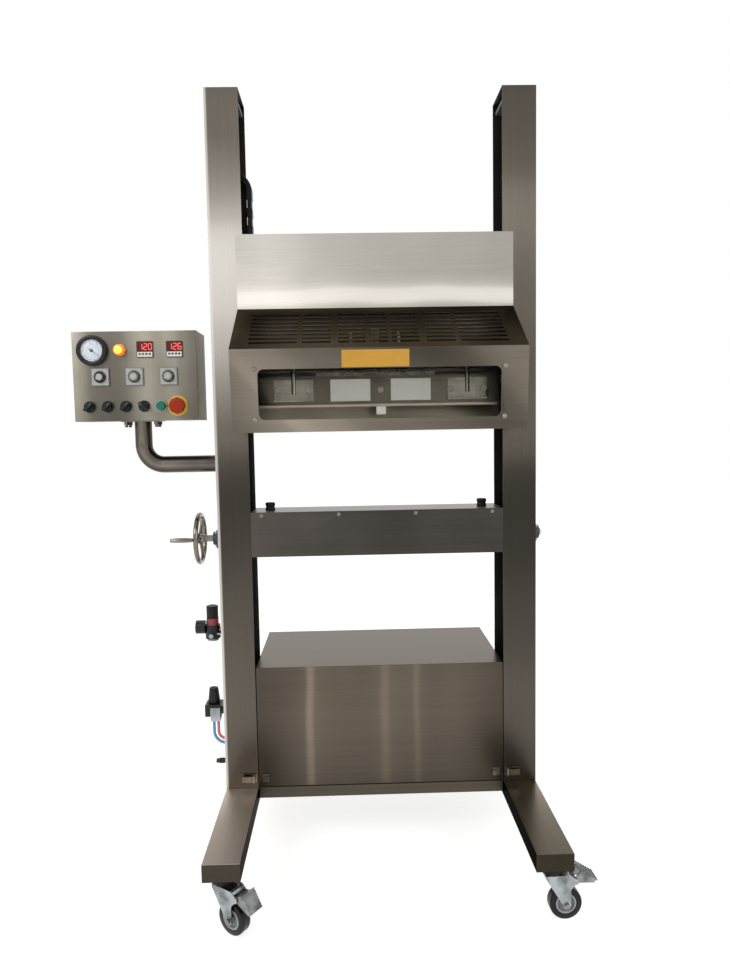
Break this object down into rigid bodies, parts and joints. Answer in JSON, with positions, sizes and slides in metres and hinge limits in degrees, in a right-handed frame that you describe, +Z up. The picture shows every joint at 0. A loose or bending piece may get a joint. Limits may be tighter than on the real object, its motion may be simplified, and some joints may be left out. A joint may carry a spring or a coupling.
{
  "type": "external vacuum sealer",
  "caption": "Vertical bag vacuum sealer: sealing head on two channel columns with handwheel lift, cabinet, control box on an arm, and swivel casters.",
  "frame": {"origin": "Middle of the bounding box on the floor, under the four wheels", "axes": "+Z up, -Y the front with the window and panel, +X to the right as seen from the front"},
  "size_m": [1.2402, 0.784, 1.97],
  "materials": {
    "legs": "brushed stainless steel",
    "caster_plates": "bright zinc plate",
    "left_column": "brushed stainless steel",
    "right_column": "brushed stainless steel",
    "crossbeam": "brushed stainless steel",
    "beam_stops": "black rubber",
    "bearings": "grey cast iron",
    "control_arm": "brushed stainless steel",
    "box_shell": "brushed stainless steel",
    "box_cover": "brushed stainless steel",
    "gauge": "black case, white dial",
    "displays": "dark red window",
    "timers": "light grey plastic",
    "pilot_lamp": "amber lens",
    "switch_collars": "bright collars",
    "cabinet_cover": "brushed stainless steel",
    "cabinet_tray": "brushed stainless steel",
    "latch_plates": "brushed stainless steel",
    "vacuum_pump": "grey green paint",
    "regulator": "dark paint, red ring",
    "air_valve": "silver body, black cap",
    "air_tubes": "blue and red tubes",
    "cross_shaft": "turned steel",
    "handwheel": "polished rim",
    "crank_handle": "turned steel",
    "left_screw": "oiled steel",
    "right_screw": "oiled steel",
    "head_frame": "plain aluminium",
    "carriages": "plain aluminium",
    "hood": "brushed stainless steel",
    "window_pane": "clear plate",
    "front_jaw": "plain aluminium",
    "cylinders": "smooth tube",
    "rear_jaw": "bar with silicone strip",
    "nozzles": "brushed stainless steel",
    "chain_loop": "black plastic",
    "gauge_needle": "black plastic",
    "timer_knob_left": "grey knob",
    "timer_knob_middle": "grey knob",
    "timer_knob_right": "grey knob",
    "selector_1": "black plastic",
    "selector_2": "black plastic",
    "selector_3": "black plastic",
    "selector_4": "black plastic",
    "start_button": "green button",
    "estop_head": "red mushroom head",
    "regulator_knob": "black plastic",
    "valve_knob": "black plastic",
    "left_latch": "bright zinc plate",
    "right_latch": "bright zinc plate",
    "fork_front_left": "bright zinc plate",
    "wheel_front_left": "dark tyre on a grey hub",
    "fork_front_right": "bright zinc plate",
    "wheel_front_right": "dark tyre on a grey hub",
    "fork_rear_left": "bright zinc plate",
    "wheel_rear_left": "dark tyre on a grey hub",
    "fork_rear_right": "bright zinc plate",
    "wheel_rear_right": "dark tyre on a grey hub",
    "pedal_left": "bright zinc plate",
    "pedal_right": "bright zinc plate"
  },
  "bodies": {
    "frame": {"legs": "legs", "caster_plates": "caster_plates", "left_column": "left_column", "right_column": "right_column", "crossbeam": "crossbeam", "beam_stops": "beam_stops", "bearings": "bearings", "control_arm": "control_arm", "box_shell": "box_shell", "box_cover": "box_cover", "gauge": "gauge", "displays": "displays", "timers": "timers", "pilot_lamp": "pilot_lamp", "switch_collars": "switch_collars", "cabinet_cover": "cabinet_cover", "cabinet_tray": "cabinet_tray", "latch_plates": "latch_plates", "vacuum_pump": "vacuum_pump", "regulator": "regulator", "air_valve": "air_valve", "air_tubes": "air_tubes"},
    "cross_shaft": {"cross_shaft": "cross_shaft", "handwheel": "handwheel"},
    "crank_handle": {"crank_handle": "crank_handle"},
    "left_screw": {"left_screw": "left_screw"},
    "right_screw": {"right_screw": "right_screw"},
    "head": {"head_frame": "head_frame", "carriages": "carriages", "hood": "hood", "window_pane": "window_pane", "front_jaw": "front_jaw", "cylinders": "cylinders"},
    "rear_jaw": {"rear_jaw": "rear_jaw"},
    "nozzles": {"nozzles": "nozzles"},
    "chain_loop": {"chain_loop": "chain_loop"},
    "gauge_needle": {"gauge_needle": "gauge_needle"},
    "timer_knob_left": {"timer_knob_left": "timer_knob_left"},
    "timer_knob_middle": {"timer_knob_middle": "timer_knob_middle"},
    "timer_knob_right": {"timer_knob_right": "timer_knob_right"},
    "selector_1": {"selector_1": "selector_1"},
    "selector_2": {"selector_2": "selector_2"},
    "selector_3": {"selector_3": "selector_3"},
    "selector_4": {"selector_4": "selector_4"},
    "start_button": {"start_button": "start_button"},
    "estop_head": {"estop_head": "estop_head"},
    "regulator_knob": {"regulator_knob": "regulator_knob"},
    "valve_knob": {"valve_knob": "valve_knob"},
    "left_latch": {"left_latch": "left_latch"},
    "right_latch": {"right_latch": "right_latch"},
    "fork_front_left": {"fork_front_left": "fork_front_left"},
    "wheel_front_left": {"wheel_front_left": "wheel_front_left"},
    "fork_front_right": {"fork_front_right": "fork_front_right"},
    "wheel_front_right": {"wheel_front_right": "wheel_front_right"},
    "fork_rear_left": {"fork_rear_left": "fork_rear_left"},
    "wheel_rear_left": {"wheel_rear_left": "wheel_rear_left"},
    "fork_rear_right": {"fork_rear_right": "fork_rear_right"},
    "wheel_rear_right": {"wheel_rear_right": "wheel_rear_right"},
    "pedal_left": {"pedal_left": "pedal_left"},
    "pedal_right": {"pedal_right": "pedal_right"}
  },
  "joints": [
    {"name": "head_lift", "type": "slide", "parent": "frame", "child": "head", "axis": [0, 0, 1], "range_m": [-0.18, 0.34]},
    {"name": "shaft_turn", "type": "hinge", "parent": "frame", "child": "cross_shaft", "pos_m": [0.14691, 0.052, 0.836], "axis": [1, 0, 0], "range_deg": [-6500, 12300]},
    {"name": "handle_spin", "type": "hinge", "parent": "cross_shaft", "child": "crank_handle", "pos_m": [-0.3251, -0.01131, 0.84087], "axis": [1, 0, 0], "continuous": true},
    {"name": "left_screw_turn", "type": "hinge", "parent": "frame", "child": "left_screw", "pos_m": [-0.22509, 0.052, 0.836], "axis": [0, 0, 1], "range_deg": [-12300, 6500]},
    {"name": "right_screw_turn", "type": "hinge", "parent": "frame", "child": "right_screw", "pos_m": [0.5189, 0.052, 0.836], "axis": [0, 0, 1], "range_deg": [-6500, 12300]},
    {"name": "chain_follow", "type": "slide", "parent": "frame", "child": "chain_loop", "axis": [0, 0, 1], "range_m": [-0.1, 0.18]},
    {"name": "jaw_close", "type": "slide", "parent": "head", "child": "rear_jaw", "axis": [0, -1, 0], "range_m": [0, 0.027]},
    {"name": "nozzle_drop", "type": "slide", "parent": "head", "child": "nozzles", "axis": [0, 0, 1], "range_m": [-0.07, 0]},
    {"name": "needle_swing", "type": "hinge", "parent": "frame", "child": "gauge_needle", "pos_m": [-0.5681, -0.008, 1.33], "axis": [0, -1, 0], "range_deg": [0, 255]},
    {"name": "timer_left_turn", "type": "hinge", "parent": "frame", "child": "timer_knob_left", "pos_m": [-0.55039, -0.008, 1.263], "axis": [0, 1, 0], "range_deg": [0, 300]},
    {"name": "timer_middle_turn", "type": "hinge", "parent": "frame", "child": "timer_knob_middle", "pos_m": [-0.4642, -0.008, 1.263], "axis": [0, 1, 0], "range_deg": [0, 300]},
    {"name": "timer_right_turn", "type": "hinge", "parent": "frame", "child": "timer_knob_right", "pos_m": [-0.378, -0.008, 1.263], "axis": [0, 1, 0], "range_deg": [0, 300]},
    {"name": "selector_1_turn", "type": "hinge", "parent": "frame", "child": "selector_1", "pos_m": [-0.58059, -0.008, 1.188], "axis": [0, 1, 0], "range_deg": [-90, 0]},
    {"name": "selector_2_turn", "type": "hinge", "parent": "frame", "child": "selector_2", "pos_m": [-0.5346, -0.008, 1.188], "axis": [0, 1, 0], "range_deg": [-90, 0]},
    {"name": "selector_3_turn", "type": "hinge", "parent": "frame", "child": "selector_3", "pos_m": [-0.4886, -0.008, 1.188], "axis": [0, 1, 0], "range_deg": [-90, 0]},
    {"name": "selector_4_turn", "type": "hinge", "parent": "frame", "child": "selector_4", "pos_m": [-0.4426, -0.008, 1.188], "axis": [0, 1, 0], "range_deg": [0, 90]},
    {"name": "start_press", "type": "slide", "parent": "frame", "child": "start_button", "axis": [0, 1, 0], "range_m": [0, 0.004], "stiffness_N_per_m": 600},
    {"name": "estop_press", "type": "slide", "parent": "frame", "child": "estop_head", "axis": [0, 1, 0], "range_m": [0, 0.005]},
    {"name": "regulator_turn", "type": "hinge", "parent": "frame", "child": "regulator_knob", "pos_m": [-0.3001, 0.052, 0.63], "axis": [0, 0, 1], "range_deg": [-360, 360]},
    {"name": "valve_turn", "type": "hinge", "parent": "frame", "child": "valve_knob", "pos_m": [-0.3031, 0.052, 0.4], "axis": [0, 0, 1], "range_deg": [0, 90]},
    {"name": "left_latch_swing", "type": "hinge", "parent": "frame", "child": "left_latch", "pos_m": [-0.19309, -0.016, 0.198], "axis": [0, 0, 1], "range_deg": [0, 100]},
    {"name": "right_latch_swing", "type": "hinge", "parent": "frame", "child": "right_latch", "pos_m": [0.4869, -0.016, 0.198], "axis": [0, 0, 1], "range_deg": [-100, 0]},
    {"name": "swivel_front_left", "type": "hinge", "parent": "frame", "child": "fork_front_left", "pos_m": [-0.22509, -0.32, 0.115], "axis": [0, 0, 1], "continuous": true},
    {"name": "roll_front_left", "type": "hinge", "parent": "fork_front_left", "child": "wheel_front_left", "pos_m": [-0.20052, -0.33721, 0.0375], "axis": [0.5736, 0.8192, 0], "continuous": true},
    {"name": "pedal_left_tilt", "type": "hinge", "parent": "fork_front_left", "child": "pedal_left", "pos_m": [-0.18414, -0.34868, 0.092], "axis": [0.5736, 0.8192, 0], "range_deg": [-25, 0]},
    {"name": "swivel_front_right", "type": "hinge", "parent": "frame", "child": "fork_front_right", "pos_m": [0.5189, -0.32, 0.115], "axis": [0, 0, 1], "continuous": true},
    {"name": "roll_front_right", "type": "hinge", "parent": "fork_front_right", "child": "wheel_front_right", "pos_m": [0.54886, -0.31843, 0.0375], "axis": [-0.0523, 0.9986, 0], "continuous": true},
    {"name": "pedal_right_tilt", "type": "hinge", "parent": "fork_front_right", "child": "pedal_right", "pos_m": [0.56884, -0.31738, 0.092], "axis": [-0.0523, 0.9986, 0], "range_deg": [0, 25]},
    {"name": "swivel_rear_left", "type": "hinge", "parent": "frame", "child": "fork_rear_left", "pos_m": [-0.22509, 0.359, 0.115], "axis": [0, 0, 1], "continuous": true},
    {"name": "roll_rear_left", "type": "hinge", "parent": "fork_rear_left", "child": "wheel_rear_left", "pos_m": [-0.1969, 0.34874, 0.0375], "axis": [0.342, 0.9397, 0], "continuous": true},
    {"name": "swivel_rear_right", "type": "hinge", "parent": "frame", "child": "fork_rear_right", "pos_m": [0.5189, 0.359, 0.115], "axis": [0, 0, 1], "continuous": true},
    {"name": "roll_rear_right", "type": "hinge", "parent": "fork_rear_right", "child": "wheel_rear_right", "pos_m": [0.49071, 0.34874, 0.0375], "axis": [0.342, -0.9397, 0], "continuous": true}
  ],
  "couplings": [
    {"joint": "shaft_turn", "follows": "head_lift", "rad_per_m": 628.32},
    {"joint": "left_screw_turn", "follows": "head_lift", "rad_per_m": -628.32},
    {"joint": "right_screw_turn", "follows": "head_lift", "rad_per_m": 628.32},
    {"joint": "chain_follow", "follows": "head_lift", "ratio": 0.5}
  ]
}
